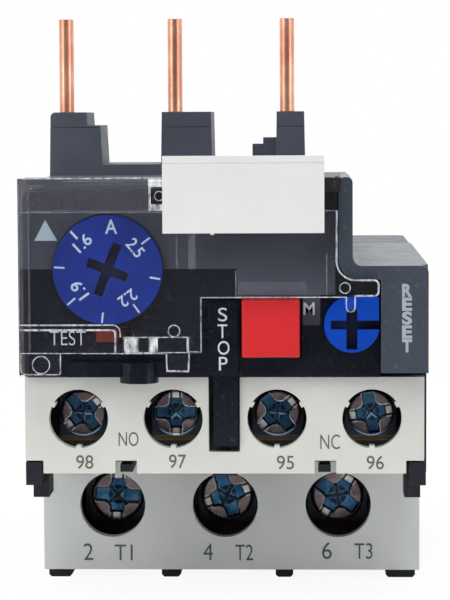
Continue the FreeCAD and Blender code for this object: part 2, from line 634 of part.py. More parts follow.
def terminal_screw(size, x, z, slot_angle):
    """Cheese-head terminal screw with a straight slot."""
    head = rod_y(size["head"], x, (size["front"], size["seat"] - 0.02), z)
    shank = rod_y(size["shank"], x, (size["seat"] - 0.5, size["end"]), z)
    screw = join(head, shank)
    depth = (size["front"] - 1, size["front"] + 0.8)
    slot = block(around(x, size["slot"] / 2), depth, around(z, size["head"] + 1))
    return screw.cut(turned(slot, slot_angle, x, z))


# ---- auxiliary contacts and trip mechanism ------------------------------------------------------
def aux_terminal_strip(i):
    """Auxiliary terminal strip: plate under the clamp, neck through the shelf, contact tip."""
    x = AUX_X[i]
    closed = x > 0
    plate = block(around(x, 3.0), AUX_PLATE, (18.0, 25.2))
    neck = block(around(x, 0.8), AUX_PLATE, (25.0, 30.2))
    tip_y = (AUX_PLATE[1] - 0.1, AUX_PLATE[1] + 0.6) if closed else (AUX_PLATE[0] - 0.55, AUX_PLATE[0] + 0.1)
    tip = block(around(x, 0.7), tip_y, around(29.3, 0.6))
    hole = rod_y(AUX_SCREW["shank"] + 0.06, x, (-23, -18), AUX_Z)
    return join(plate, neck, tip).cut(hole)


def aux_clamp(i):
    """Small clamping plate of an auxiliary terminal."""
    plate = block(around(AUX_X[i], 2.9), (-22.2, AUX_PLATE[0] - 0.05), around(AUX_Z, 2.9))
    return plate.cut(rod_y(AUX_SCREW["shank"] + SLIP, AUX_X[i], (-23, -20), AUX_Z))


def contact_carrier():
    """Sliding carrier of the two contact bridges, moved by the trip lever's side arm."""
    body = block((-3.0, 3.4), (-25.2, -11.2), (SHELF + 0.7, 32.4))
    slots = [
        block((0.6, 4), (CRANK_Y - 1.0, CRANK_Y + 1.0), (29.0, 31.6)),
        block((-4, 1.5), (-24.4, -23.4), (28.6, 30.0)),
        block((-1.5, 4), (-19.6, -18.6), (28.6, 30.0)),
    ]
    return body.cut(slots)


def bridge_open():
    """Contact bridge of 97 and 98, apart from its fixed tips at rest."""
    return block((-17.6, 1.4), (-24.35, -23.5), (28.7, 29.9))


def bridge_closed():
    """Contact bridge of 95 and 96, resting on its fixed tips."""
    return block((-1.4, 17.6), (-19.55, -18.7), (28.7, 29.9))


def trip_bar():
    """Slide bar with one finger beside each bimetal strip."""
    bar = block((-16.0, CRANK_X - 0.8), BAR_Y, BAR_Z)
    fingers = [
        block((x + 0.8, x + 1.8), (BAR_Y[1] - 0.5, 9.0), (BAR_Z[0], BAR_Z[0] + 1.6)) for x in POWER_X
    ]
    return join(bar, *fingers)


def trip_lever():
    """Bell crank on an upright pin: side arm to the contact carrier, lug for the rear strip."""
    hub = rod_z(2.2, CRANK_X, CRANK_Y, (28.6, 35.4))
    side = block((1.2, CRANK_X), around(CRANK_Y, 0.6), (29.4, 31.2))
    lug = block((CRANK_X + 0.4, CRANK_X + 1.4), (CRANK_Y, -8.9), (BAR_Z[0], BAR_Z[1] - 0.4))
    lever = join(hub, side, lug)
    bore = rod_z(0.8 + SLIP, CRANK_X, CRANK_Y, (27, 37))
    strip_room = block((CRANK_X - 0.5, CRANK_X + 0.4), (-11.2, -5), (BAR_Z[0] - 0.1, BAR_Z[1]))
    return lever.cut([bore, strip_room])


def compensating_strip():
    """Bimetal rear arm of the trip lever, which evens out the room temperature."""
    return block(around(CRANK_X, 0.4), (-11.1, BAR_Y[1] - 0.2), (BAR_Z[0], BAR_Z[1] - 0.4))


def lever_pin():
    """Steel pivot of the trip lever."""
    return rod_z(0.8, CRANK_X, CRANK_Y, (SHELF - 0.75, BODY_TOP - WALL + 0.75))


# ---- list of nodes ------------------------------------------------------------------------------
POWER_SLOTS = (0, 70, 20)
AUX_SLOTS = (50, 0, 50, 82)

NODES = {
    "base_housing": base_housing(),
    "pin_housing": pin_housing(),
    "mechanism_housing": mechanism_housing(),
    "front_panel": front_panel(),
    "marking_plate": marking_plate(),
    "side_frame": side_frame(),
    "aux_terminal_cover": aux_terminal_cover(),
    "power_terminal_cover": power_terminal_cover(),
    "clear_cover": clear_cover(),
    "label_plate": label_plate(),
    "hinge_pin": hinge_pin(),
    "setting_dial": setting_dial(),
    "dial_cam": dial_cam(),
    "stop_button": stop_button(),
    "stop_spring": stop_spring(),
    "mode_knob": mode_knob(),
    "reset_stem": reset_stem(),
    "reset_spring": reset_spring(),
    "test_slider": test_slider(),
    "test_spring": test_spring(),
    "contact_carrier": contact_carrier(),
    "bridge_open": bridge_open(),
    "bridge_closed": bridge_closed(),
    "trip_bar": trip_bar(),
    "trip_lever": trip_lever(),
    "compensating_strip": compensating_strip(),
    "lever_pin": lever_pin(),
}
for number in range(3):
    phase = str(number + 1)
    NODES["pin_" + phase] = pin_conductor(number)
    NODES["bimetal_strip_" + phase] = bimetal_strip(number)
    NODES["heater_winding_" + phase] = heater_winding(number)
    NODES["load_terminal_" + phase] = load_terminal(number)
    NODES["power_clamp_" + phase] = power_clamp(number)
    NODES["power_screw_" + phase] = terminal_screw(
        POWER_SCREW, POWER_X[number], POWER_Z, POWER_SLOTS[number]
    )
for number, mark in enumerate(AUX_NAMES):
    NODES["aux_strip_" + mark] = aux_terminal_strip(number)
    NODES["aux_clamp_" + mark] = aux_clamp(number)
    NODES["aux_screw_" + mark] = terminal_screw(AUX_SCREW, AUX_X[number], AUX_Z, AUX_SLOTS[number])

os.makedirs("parts", exist_ok=True)
for name, shape in NODES.items():
    shape.exportStep("parts/" + name + ".step")
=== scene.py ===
# %% [markdown]
# # A thermal overload relay, dressed for its portrait
# The relay is a block of dark plastic shells with cream and grey terminal covers, three copper pins,
# a blue dial, a red stop button and a clear hinged cover. The construction model gives every rigid
# piece at its real size. This lesson adds what a construction model leaves out: finishes, worn edges,
# printed marks, real screw heads, the bright lines of clear plastic, the light and the camera.

# %% Load the construction model
import math
import bmesh
import bpy
from mathutils import Matrix, Vector


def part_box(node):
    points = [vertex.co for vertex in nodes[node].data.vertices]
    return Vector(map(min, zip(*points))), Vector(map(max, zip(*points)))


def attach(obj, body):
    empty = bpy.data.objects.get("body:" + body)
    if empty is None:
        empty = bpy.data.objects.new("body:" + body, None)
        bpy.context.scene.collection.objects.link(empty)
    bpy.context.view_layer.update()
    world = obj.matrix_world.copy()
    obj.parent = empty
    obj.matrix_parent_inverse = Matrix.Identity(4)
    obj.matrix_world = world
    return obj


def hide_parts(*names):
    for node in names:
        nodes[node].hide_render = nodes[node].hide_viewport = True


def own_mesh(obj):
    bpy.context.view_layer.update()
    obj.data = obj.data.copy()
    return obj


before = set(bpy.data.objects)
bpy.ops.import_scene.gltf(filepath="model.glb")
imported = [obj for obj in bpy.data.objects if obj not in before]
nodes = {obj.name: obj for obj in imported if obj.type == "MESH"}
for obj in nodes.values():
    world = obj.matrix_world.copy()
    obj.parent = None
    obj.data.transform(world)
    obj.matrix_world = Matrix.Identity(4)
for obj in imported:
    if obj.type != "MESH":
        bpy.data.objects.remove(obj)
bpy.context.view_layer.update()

# %% [markdown]
# Lengths on a relay are small, so the lesson writes them in millimetres and turns them into metres
# with one factor. A few faces of the construction model are used again and again: the dial, the two
# terminal covers, the side frame. Reading them from the model keeps every print and every screw where
# the solids are. Two more faces, the front panel's and its STOP bar's, are steps of one solid whose
# box can't tell them apart, so they are written down.

# %% Measures read from the model
MM = 0.001


def face_y(node):
    """The foremost y of a node, in millimetres."""
    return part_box(node)[0].y / MM


def middle(node):
    """The middle of a node as (x, z), in millimetres."""
    low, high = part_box(node)
    return (low.x + high.x) / 2 / MM, (low.z + high.z) / 2 / MM


dial_x, dial_z = middle("setting_dial")
dial_front = face_y("setting_dial")
plate_front = face_y("marking_plate")
aux_front = face_y("aux_terminal_cover")
power_front = face_y("power_terminal_cover")
frame_front = face_y("side_frame")
panel_front = -30.5
bar_front = -32.2
print("dial centre", round(dial_x, 2), round(dial_z, 2), "front", round(dial_front, 2))

# %% [markdown]
# ## Finishes
# Moulded plastic looks plain from afar, but it is never one flat colour: the resin flows unevenly,
# the mould leaves a fine grain, fingers leave patches that shine a little more, and sharp edges wear
# lighter. Each of those is one small group of nodes. They could be painted as images, but procedural
# nodes need no unwrapping and stay sharp at any distance, so one function builds them all.


# %% A small node helper
class Finish:
    """A material under construction, with short calls for the nodes that every finish needs."""

    def __init__(self, name):
        self.material = bpy.data.materials.new(name)
        self.material.use_nodes = True
        self.tree = self.material.node_tree
        self.shader = self.tree.nodes["Principled BSDF"]
        self.output = self.tree.nodes["Material Output"]
        self.place = self.node("ShaderNodeTexCoord").outputs["Object"]

    def node(self, kind, **settings):
        made = self.tree.nodes.new(kind)
        for key, value in settings.items():
            setattr(made, key, value)
        return made

    def link(self, source, target):
        self.tree.links.new(source, target)

    def noise(self, scale, detail=3.0, roughness=0.55, stretch=(1, 1, 1)):
        """Noise with features about 1/scale metres across, stretched along the axes."""
        grid = self.node("ShaderNodeMapping")
        grid.inputs["Scale"].default_value = stretch
        self.link(self.place, grid.inputs["Vector"])
        made = self.node("ShaderNodeTexNoise")
        made.inputs["Scale"].default_value = scale
        made.inputs["Detail"].default_value = detail
        made.inputs["Roughness"].default_value = roughness
        self.link(grid.outputs["Vector"], made.inputs["Vector"])
        return made.outputs["Fac"]

    def spread(self, source, low, high, from_low=0.3, from_high=0.7):
        """Turns a 0 to 1 value into one between low and high."""
        made = self.node("ShaderNodeMapRange")
        made.inputs["From Min"].default_value = from_low
        made.inputs["From Max"].default_value = from_high
        made.inputs["To Min"].default_value = low
        made.inputs["To Max"].default_value = high
        self.link(source, made.inputs["Value"])
        return made.outputs["Result"]

    def mix(self, factor, first, second):
        """Blends two colours; each is a plain colour or another node's output."""
        made = self.node("ShaderNodeMix", data_type="RGBA")
        self.link(factor, made.inputs["Factor"])
        for socket, value in ((made.inputs[6], first), (made.inputs[7], second)):
            if isinstance(value, (tuple, list)):
                socket.default_value = (*value, 1.0)
            else:
                self.link(value, socket)
        return made.outputs[2]

    def bump(self, height, depth, after=None):
        """Relief of the given depth in metres, laid over an earlier relief if there is one."""
        made = self.node("ShaderNodeBump")
        made.inputs["Strength"].default_value = 1.0
        made.inputs["Distance"].default_value = depth
        self.link(height, made.inputs["Height"])
        if after is not None:
            self.link(after, made.inputs["Normal"])
        return made.outputs["Normal"]

    def edge_wear(self, radius):
        """A mask that is high along sharp edges: where a rounded normal leaves the flat one."""
        rounded = self.node("ShaderNodeBevel", samples=4)
        rounded.inputs["Radius"].default_value = radius
        flat = self.node("ShaderNodeNewGeometry").outputs["Normal"]
        compare = self.node("ShaderNodeVectorMath", operation="DOT_PRODUCT")
        self.link(rounded.outputs["Normal"], compare.inputs[0])
        self.link(flat, compare.inputs[1])
        return self.spread(compare.outputs["Value"], 1.0, 0.0, 0.75, 0.98)


def tint(colour, factor):
    """The colour made darker or lighter by a factor."""
    return tuple(min(1.0, channel * factor) for channel in colour)


# %% [markdown]
# Each kind of unevenness has its own scale: the larger the number, the smaller its features. Clouds
# of colour are about six millimetres across, and the grain of the mould about an eighth of one.

# %% Moulded plastic
CLOUD_SCALE = 160
WAVE_SCALE = 260
SHINE_SCALE = 420
LEDGE_SCALE = 700
POWDER_SCALE = 1900
SPECK_SCALE = 5200
GRAIN_SCALE = 7500
WAVE_DEPTH = 0.00002
WORN_EDGE = 0.00018
DUST = (0.45, 0.46, 0.48)
SETTLED_DUST = (0.26, 0.28, 0.31)


def moulded(name, colour, gloss, grain=0.000012, patch=0.12, wear=1.5, dust=0.0, shelf=0.0, mirror=0.5):
    """Moulded plastic: uneven colour, mould grain, patches of shine, worn edges, dust on ledges.

    Gloss is the roughness, grain the depth of the texture in metres, patch how uneven the colour is,
    wear how much lighter the edges are, dust and shelf how dusty it is all over and on top, and
    mirror how strongly the surface reflects.
    """
    finish = Finish(name)
    finish.shader.inputs["Specular IOR Level"].default_value = mirror
    cloud = finish.noise(CLOUD_SCALE)
    shade = finish.mix(finish.spread(cloud, 0, 1), tint(colour, 1 - patch), tint(colour, 1 + patch))
    specks = finish.spread(finish.noise(SPECK_SCALE, 2), 0.0, 0.35, 0.62, 0.78)
    shade = finish.mix(specks, shade, tint(colour, 1 + 2.5 * patch))
    if dust:
        powder = finish.spread(finish.noise(POWDER_SCALE, 5, 0.7), 0.0, dust, 0.58, 0.7)
        shade = finish.mix(powder, shade, DUST)
    if shelf:
        facing = finish.node("ShaderNodeSeparateXYZ")
        finish.link(finish.node("ShaderNodeNewGeometry").outputs["Normal"], facing.inputs["Vector"])
        settled = finish.spread(facing.outputs["Z"], 0.0, shelf, 0.6, 0.95)
        uneven = finish.node("ShaderNodeMath", operation="MULTIPLY")
        finish.link(settled, uneven.inputs[0])
        drifts = finish.noise(LEDGE_SCALE, 6, 0.7)
        finish.link(finish.spread(drifts, 0.65, 1.0, 0.35, 0.65), uneven.inputs[1])
        shade = finish.mix(uneven.outputs[0], shade, SETTLED_DUST)
    worn = finish.spread(finish.edge_wear(WORN_EDGE), 0, 0.55, 0, 1)
    shade = finish.mix(worn, shade, tint(colour, wear))
    finish.link(shade, finish.shader.inputs["Base Color"])
    shine = finish.spread(finish.noise(SHINE_SCALE, 4), gloss - 0.06, gloss + 0.08)
    finish.link(shine, finish.shader.inputs["Roughness"])
    relief = finish.bump(finish.noise(GRAIN_SCALE, 2), grain)
    relief = finish.bump(finish.noise(WAVE_SCALE, 2), WAVE_DEPTH, relief)
    finish.link(relief, finish.shader.inputs["Normal"])
    return finish.material


# %% [markdown]
# The colours are the relay's own: black for the bodies, a cooler slate for the upper shell, warm
# cream and cool grey for the terminal covers. The two recess colours are darker copies of the blues,
# painted shade in the recesses of the dial and the knob. Dark parts get more visible edge wear than
# pale ones, because a scuff on black plastic turns grey and a scuff on cream stays cream.

# %% Plastics of the relay
black = moulded("black_body", (0.007, 0.008, 0.013), 0.42, wear=3.0, dust=0.05, mirror=0.25)
glossy_black = moulded("glossy_black_panel", (0.003, 0.0042, 0.0105), 0.22, grain=0.000004, wear=3.0,
                       dust=0.05, mirror=0.22)
slate = moulded("slate_upper_shell", (0.044, 0.053, 0.074), 0.48, wear=1.8, shelf=0.35)
plate_grey = moulded("dark_grey_plate", (0.040, 0.046, 0.064), 0.4, grain=0.000005, wear=1.4, dust=0.05,
                     mirror=0.3)
frame_grey = moulded("grey_side_frame", (0.030, 0.039, 0.057), 0.45, wear=1.9, dust=0.1, shelf=0.8,
                     mirror=0.4)
cream = moulded("cream_cover", (0.505, 0.51, 0.48), 0.5, patch=0.03, wear=1.05)
cool_grey = moulded("grey_terminal_cover", (0.51, 0.53, 0.515), 0.5, patch=0.04, wear=1.08)
white = moulded("white_label", (0.61, 0.612, 0.605), 0.55, grain=0.00003, patch=0.02, wear=1.03)
dial_blue = moulded("blue_dial", (0.003, 0.018, 0.19), 0.38, patch=0.15, wear=1.6, mirror=0.2)
knob_blue = moulded("blue_knob", (0.0, 0.042, 0.34), 0.3, patch=0.08, wear=1.5, mirror=0.2)
# Painted shade: darker copies of the dial and knob blues for their recesses.
dial_recess_shade = moulded("dial_recess_painted_shade", (0.002, 0.004, 0.035), 0.5, mirror=0.2)
knob_recess_shade = moulded("knob_recess_painted_shade", (0.001, 0.006, 0.04), 0.5, mirror=0.2)
red = moulded("red_button", (0.50, 0.012, 0.016), 0.45, grain=0.00003, patch=0.08, wear=1.15, mirror=0.3)
slider_red = moulded("red_brown_slider", (0.11, 0.012, 0.008), 0.5, mirror=0.2)
ivory = moulded("ivory_mechanism", (0.66, 0.64, 0.58), 0.5, patch=0.03, wear=1.05)
print("finishes so far:", len(bpy.data.materials))

# %% [markdown]
# Metal is told apart by its colour and by how it is scratched. Drawn copper carries fine lines along
# its length and darker patches where it has begun to tarnish. A zinc-plated screw shows several
# colours at once: brown lands, a blue cross and a pale slot, while its lips, middle ridges and rim get
# very pale zinc as painted highlights. The clamp steel and the brass are painted dark, as painted shade.
# All metals are one shader with metallic at 1; only the colours and the noise that feeds them differ.

# %% Metals of the relay
TARNISH_SCALE = 330
SCRATCH_DEPTH = 0.00001


def metal(name, colour, second, gloss, lines=(1, 1, 1), line_scale=900):
    """Bare or plated metal with a second tone in patches and fine lines along one axis."""
    finish = Finish(name)
    patches = finish.spread(finish.noise(TARNISH_SCALE, 4), 0, 1, 0.38, 0.62)
    strokes = finish.noise(line_scale, 3, 0.6, lines)
    shade = finish.mix(patches, colour, second)
    shade = finish.mix(finish.spread(strokes, 0.0, 0.5), shade, tint(colour, 0.6))
    finish.link(shade, finish.shader.inputs["Base Color"])
    finish.shader.inputs["Metallic"].default_value = 1.0
    finish.link(finish.spread(strokes, gloss, gloss + 0.18), finish.shader.inputs["Roughness"])
    finish.link(finish.bump(strokes, SCRATCH_DEPTH), finish.shader.inputs["Normal"])
    return finish.material


copper = metal("drawn_copper", (0.96, 0.52, 0.365), (0.80, 0.33, 0.22), 0.30, lines=(1, 1, 0.03),
               line_scale=2600)
zinc = metal("zinc_plating", (0.20, 0.155, 0.155), (0.09, 0.07, 0.075), 0.22)
zinc_blue = metal("blue_zinc_recess", (0.038, 0.105, 0.185), (0.01, 0.035, 0.075), 0.2)
zinc_pale = metal("pale_zinc_slot", (0.74, 0.75, 0.72), (0.50, 0.51, 0.50), 0.3)
# Painted highlights: pale zinc for the glints on the middle ridges and the rim, and for the lips of the
# cross.
zinc_glint = metal("painted_glint_zinc_ridge", (0.24, 0.42, 0.60), (0.12, 0.24, 0.38), 0.25)
lip_highlight_zinc = metal("painted_highlight_zinc_lip", (0.95, 0.96, 0.97), (0.80, 0.83, 0.86), 0.5)
# Painted shade: the clamp steel and the brass are made dark, for they sit in shade behind the screw heads
# and the covers.
dark_steel = metal("steel_painted_dark_shade", (0.10, 0.12, 0.15), (0.05, 0.06, 0.08), 0.35)
brass = metal("brass_painted_dark_shade", (0.17, 0.12, 0.065), (0.1, 0.065, 0.035), 0.35)
steel = metal("bright_steel", (0.55, 0.55, 0.56), (0.42, 0.42, 0.44), 0.25)
heater_alloy = metal("heater_alloy", (0.42, 0.40, 0.37), (0.3, 0.27, 0.24), 0.35)
print("metals: copper, five tones of zinc, two steels, brass, heater alloy")

# %% [markdown]
# The clear cover is the trickiest finish. Real clear plastic bends light, so its flat face almost
# vanishes while its rims, ribs and grooves turn bright. A refracting shader gives that for free, but it
# also throws a full shadow on the panel behind it. Letting shadow rays pass through fixes that. The
# rounded rims get a second finish, a darker tint with a share of white diffuse light, because moulded
# rims catch the light: painted shade and painted highlight. The side walls get a third, darker one,
# which is painted shade. Thin veils will later draw the lines that refraction loses, as painted highlights.

# %% Clear plastic, its rims with painted highlight, its walls with painted shade, and its veils
REFRACTION = 1.46
SMEAR_SCALE = 700
SAG_SCALE = 90
SAG_DEPTH = 0.00002
WHITE_LAYER = (0.9, 0.92, 0.95)
VEIL_SCALE = 2300


def clear(name, colour, white_share):
    """Clear plastic: refracts for the eye, lets light through, with a share of white diffuse light given
    last.
    """
    finish = Finish(name)
    shader = finish.shader
    shader.inputs["Base Color"].default_value = (*colour, 1.0)
    shader.inputs["IOR"].default_value = REFRACTION
    shader.inputs["Transmission Weight"].default_value = 1.0
    finish.link(finish.spread(finish.noise(SMEAR_SCALE, 3), 0.0, 0.05), shader.inputs["Roughness"])
    finish.link(finish.bump(finish.noise(SAG_SCALE, 1), SAG_DEPTH), shader.inputs["Normal"])
    through = finish.node("ShaderNodeBsdfTransparent")
    haze = finish.node("ShaderNodeBsdfDiffuse")
    haze.inputs["Color"].default_value = (*WHITE_LAYER, 1.0)
    hazy = finish.node("ShaderNodeMixShader")
    hazy.inputs["Fac"].default_value = white_share
    finish.link(shader.outputs["BSDF"], hazy.inputs[1])
    finish.link(haze.outputs["BSDF"], hazy.inputs[2])
    passing = finish.node("ShaderNodeMixShader")
    rays = finish.node("ShaderNodeLightPath")
    finish.link(rays.outputs["Is Shadow Ray"], passing.inputs["Fac"])
    finish.link(hazy.outputs["Shader"], passing.inputs[1])
    finish.link(through.outputs["BSDF"], passing.inputs[2])
    finish.link(passing.outputs["Shader"], finish.output.inputs["Surface"])
    return finish.material


clear_face = clear("clear_plastic", (0.97, 0.98, 1.0), 0.001)
# The rims let less light through and carry some white diffuse light: painted shade and painted highlight.
clear_rim = clear("clear_plastic_rim_painted_highlight", (0.6, 0.62, 0.66), 0.08)
# The darker finish of the sideways faces is painted shade.
clear_side_shade = clear("clear_plastic_side_painted_shade", (0.3, 0.31, 0.34), 0.02)


def veil(name, colour, amount, patchy=0.0):
    """A thin diffuse layer of which only an amount is seen; patchy is how far that amount varies."""
    finish = Finish(name)
    finish.shader.inputs["Base Color"].default_value = (*colour, 1.0)
    finish.shader.inputs["Roughness"].default_value = 0.4
    finish.shader.inputs["Specular IOR Level"].default_value = 0.2
    through = finish.node("ShaderNodeBsdfTransparent")
    layer = finish.node("ShaderNodeMixShader")
    cloud = finish.noise(VEIL_SCALE, 3, 0.6, (1, 1, 0.35))
    finish.link(finish.spread(cloud, amount - patchy, amount + patchy), layer.inputs["Fac"])
    finish.link(through.outputs["BSDF"], layer.inputs[1])
    finish.link(finish.shader.outputs["BSDF"], layer.inputs[2])
    finish.link(layer.outputs["Shader"], finish.output.inputs["Surface"])
    return finish.material


# Pale veils are painted highlights: the cover's bright lines and the streaks on its prism and clip.
painted_highlight_line = veil("painted_highlight_cover_line", (0.66, 0.68, 0.73), 0.5, 0.35)
faint_highlight_line = veil("faint_painted_highlight_line", (0.55, 0.58, 0.65), 0.24, 0.16)
highlight_streaks = veil("painted_highlight_prism_streaks", (0.8, 0.82, 0.84), 0.5, 0.42)
hazy = veil("hazy_rib", (0.36, 0.37, 0.45), 0.07, 0.03)
warm_haze = veil("warm_streak", (0.42, 0.37, 0.36), 0.13, 0.11)
band_haze = veil("hazy_band", (0.14, 0.14, 0.165), 0.30, 0.05)
# Dark veils on the side and top walls are painted shade: seen end-on, the walls swallow the light.
painted_wall_shade_low = veil("wall_painted_shade_low", (0.015, 0.014, 0.017), 0.94, 0.03)
painted_wall_shade_middle = veil("wall_painted_shade_middle", (0.048, 0.052, 0.066), 0.94, 0.03)
painted_wall_shade_band = veil("wall_painted_shade_band", (0.058, 0.060, 0.074), 0.94, 0.03)
print("clear plastic:", clear_face.name, clear_rim.name, clear_side_shade.name)

# %% [markdown]
# ## Dressing the construction model
# Each solid arrives with hard edges and split faces. Four modifiers make it look moulded without
# moving a single vertex of the model itself: weld the split faces, make each flat side one face, cut a
# small rounded edge, and even out the shading. The radius of the edge is the one thing that differs: a
# sixth of a millimetre on housings, a tenth on controls and less on metal.

# %% Finish and soften every node
SPLIT_GAP = 0.000002
FLAT_ANGLE = math.radians(1)
SHARP_ANGLE = math.radians(38)
HOUSING_EDGE = 0.16
COVER_EDGE = 0.12
PLATE_EDGE = 0.04
BUTTON_EDGE = 0.15
CONTROL_EDGE = 0.1
METAL_EDGE = 0.06


def dress(node, material, radius, rim=None):
    """Gives a solid its finish and an edge of a radius in mm; rim is a finish for the edge alone."""
    piece = nodes[node]
    mesh = piece.data
    if "custom_normal" in mesh.attributes:
        mesh.attributes.remove(mesh.attributes["custom_normal"])
    mesh.materials.clear()
    mesh.materials.append(material)
    if rim is not None:
        mesh.materials.append(rim)
    mesh.polygons.foreach_set("material_index", [0] * len(mesh.polygons))
    mesh.polygons.foreach_set("use_smooth", [True] * len(mesh.polygons))
    weld = piece.modifiers.new("join_faces", "WELD")
    weld.merge_threshold = SPLIT_GAP
    flat = piece.modifiers.new("one_face_per_plane", "DECIMATE")
    flat.decimate_type = "DISSOLVE"
    flat.angle_limit = FLAT_ANGLE
    edge = piece.modifiers.new("rounded_edge", "BEVEL")
    edge.width = radius * MM
    edge.segments = 2
    edge.limit_method = "ANGLE"
    edge.angle_limit = SHARP_ANGLE
    edge.use_clamp_overlap = True
    edge.face_strength_mode = "FSTR_ALL"
    if rim is not None:
        edge.material = 1
    shading = piece.modifiers.new("even_shading", "WEIGHTED_NORMAL")
    shading.use_face_influence = True


HOUSINGS = {
    "base_housing": black,
    "mechanism_housing": black,
    "pin_housing": slate,
    "front_panel": glossy_black,
    "marking_plate": plate_grey,
    "side_frame": frame_grey,
    "aux_terminal_cover": cream,
    "power_terminal_cover": cool_grey,
    "label_plate": white,
}
for node, material in HOUSINGS.items():
    dress(node, material, PLATE_EDGE if node == "marking_plate" else HOUSING_EDGE)
dress("clear_cover", clear_face, COVER_EDGE, clear_rim)
cover_mesh = nodes["clear_cover"].data
# Faces that point sideways take the darker clear finish: painted shade on the walls and roof.
cover_mesh.materials.append(clear_side_shade)
for face in cover_mesh.polygons:
    faces_sideways = abs(face.normal.y) < 0.5
    if faces_sideways:
        face.material_index = 2

CONTROLS = {
    "setting_dial": dial_blue,
    "mode_knob": knob_blue,
    "stop_button": red,
    "test_slider": slider_red,
    "dial_cam": ivory,
    "reset_stem": ivory,
    "contact_carrier": ivory,
    "trip_bar": ivory,
    "trip_lever": ivory,
}
for node, material in CONTROLS.items():
    dress(node, material, BUTTON_EDGE if node == "stop_button" else CONTROL_EDGE)

# Faces deeper than RECESS_DEPTH near the middle of the dial and the knob take the darker recess colour:
# painted shade.
RECESS_DEPTH = 0.3
RECESS_REACH = 2.75
for node, material in (("setting_dial", dial_recess_shade), ("mode_knob", knob_recess_shade)):
    mesh = nodes[node].data
    mesh.materials.append(material)
    deep = face_y(node) + RECESS_DEPTH
    x, z = middle(node)
    for face in mesh.polygons:
        spot = face.center / MM
        if spot.y > deep and math.hypot(spot.x - x, spot.z - z) < RECESS_REACH:
            face.material_index = 1

# The clamps and the brass take their darkened metals, which are painted shade.
METAL_PARTS = {
    "pin_": copper,
    "bridge_": copper,
    "load_terminal_": brass,
    "aux_strip_": brass,
    "power_clamp_": dark_steel,
    "aux_clamp_": dark_steel,
    "power_screw_": zinc,
    "aux_screw_": zinc,
    "bimetal_strip_": steel,
    "compensating_strip": steel,
    "heater_winding_": heater_alloy,
    "stop_spring": steel,
    "reset_spring": steel,
    "test_spring": steel,
    "hinge_pin": steel,
    "lever_pin": steel,
}
for start, material in METAL_PARTS.items():
    for node in sorted(nodes):
        if node.startswith(start) and node != "pin_housing":
            dress(node, material, METAL_EDGE)
print("dressed", len(nodes), "nodes")

# %% [markdown]
# ## Return springs
# A spring is the one metal part that can't ride on a body: one end stays on its wall while the other
# follows the button. Each spring gets a copy of its dressed mesh, which rides on the root body; the
# table gives each spring's joint, axis and travel.

# %% Springs copied onto the root body
SPRINGS = {
    "stop_spring": ("stop_push", (0, 1, 0), 2.5),
    "reset_spring": ("reset_push", (0, 1, 0), 1.3),
    "test_spring": ("test_slide", (1, 0, 0), 1.8),
}
for node, (joint, axis, travel) in SPRINGS.items():
    source = nodes[node]
    mesh = bpy.data.meshes.new_from_object(source.evaluated_get(bpy.context.evaluated_depsgraph_get()))
    piece = bpy.data.objects.new(node + "_coils", mesh)
    bpy.context.collection.objects.link(piece)
    piece.matrix_world = source.matrix_world
    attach(piece, "root")
    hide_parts(node)
    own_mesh(piece)

# %% [markdown]
# ## Terminal screws
# A combination screw has a cross for a Phillips driver, and one of its bars runs on to the rim, so a
# flat driver fits too. Cutting that with booleans would leave ragged edges, so the head is a
# relief instead, whose depth at each point comes from a formula: a shallow slot, a deep cross with
# rounded corners, a cone with four ridges in the middle, a rolled rim. The same formula says which
# zone the point lies in, and each zone has its own finish; the lips, the ridges and the outer rim get
# pale zinc as painted highlights. Reaches and widths are shares of the radius; depths and heights are
# millimetres.

# %% Relief of a combination screw head
LAND, CROSS, SLOT, RIDGE, LIP = range(5)
ARM_HALF = 0.25
CORNER_ROUND = 0.3
CROSS_ACROSS, CROSS_ALONG, CROSS_DEPTH = 0.85, 0.64, 0.85
SLOT_HALF, SLOT_DEPTH = 0.17, 0.22
CONE_REACH, CONE_HEIGHT = 0.36, 0.22
RIDGE_REACH, RIDGE_HALF, RIDGE_HEIGHT = 0.4, 0.09, 0.08
RIM_START, RIM_WIDTH, RIM_DROP = 0.86, 0.14, 0.28


def step(value, edge, soft=0.07):
    """0 below the edge, 1 above it, with a soft ramp between."""
    t = min(1.0, max(0.0, (value - edge) / soft + 0.5))
    return t * t * (3 - 2 * t)


def recess(u, v, radius):
    """Depth in mm and zone of the point (u, v) of a head; the slot runs along v."""
    arm = ARM_HALF * radius
    corner = CORNER_ROUND * radius
    across, along = abs(u), abs(v)
    side = min(across, along) - arm
    if across < arm + corner and along < arm + corner:
        side = corner - math.hypot(arm + corner - across, arm + corner - along)
    inside = 1 - step(side, 0.0)
    slot = (1 - step(across, SLOT_HALF * radius)) * SLOT_DEPTH
    cross = inside * (1 - step(max(across / CROSS_ACROSS, along / CROSS_ALONG), radius)) * CROSS_DEPTH
    out = math.hypot(u, v) / radius
    diagonal = abs(across - along)
    cone = CONE_HEIGHT * max(0.0, 1 - out / CONE_REACH)
    ridge = RIDGE_HEIGHT * max(0.0, 1 - diagonal / (RIDGE_HALF * radius)) * (out < RIDGE_REACH)
    # The lip zone and the ridge zone, which also takes the outer rim, get painted highlights.
    if -0.02 < side < 0.095 and 0.3 < out < 0.9 and slot < 0.12:
        zone = LIP
    elif slot > 0.12 and cross < 0.25:
        zone = SLOT
    elif out > 0.93 or out < 0.34 and diagonal < 0.13 * radius:
        zone = RIDGE
    else:
        zone = CROSS if cross > 0.25 else LAND
    return max(slot, cross) - (cone + ridge) * inside, zone


print("depth in the middle of a 4 mm head, in mm:", round(recess(0.0, 0.0, 2.0)[0], 2))

# %% [markdown]
# The formula is sampled on rings from the middle of the head to its edge. The same rings then go on
# behind the head, down the shank and over the bevel of its tip, so each screw is one mesh.

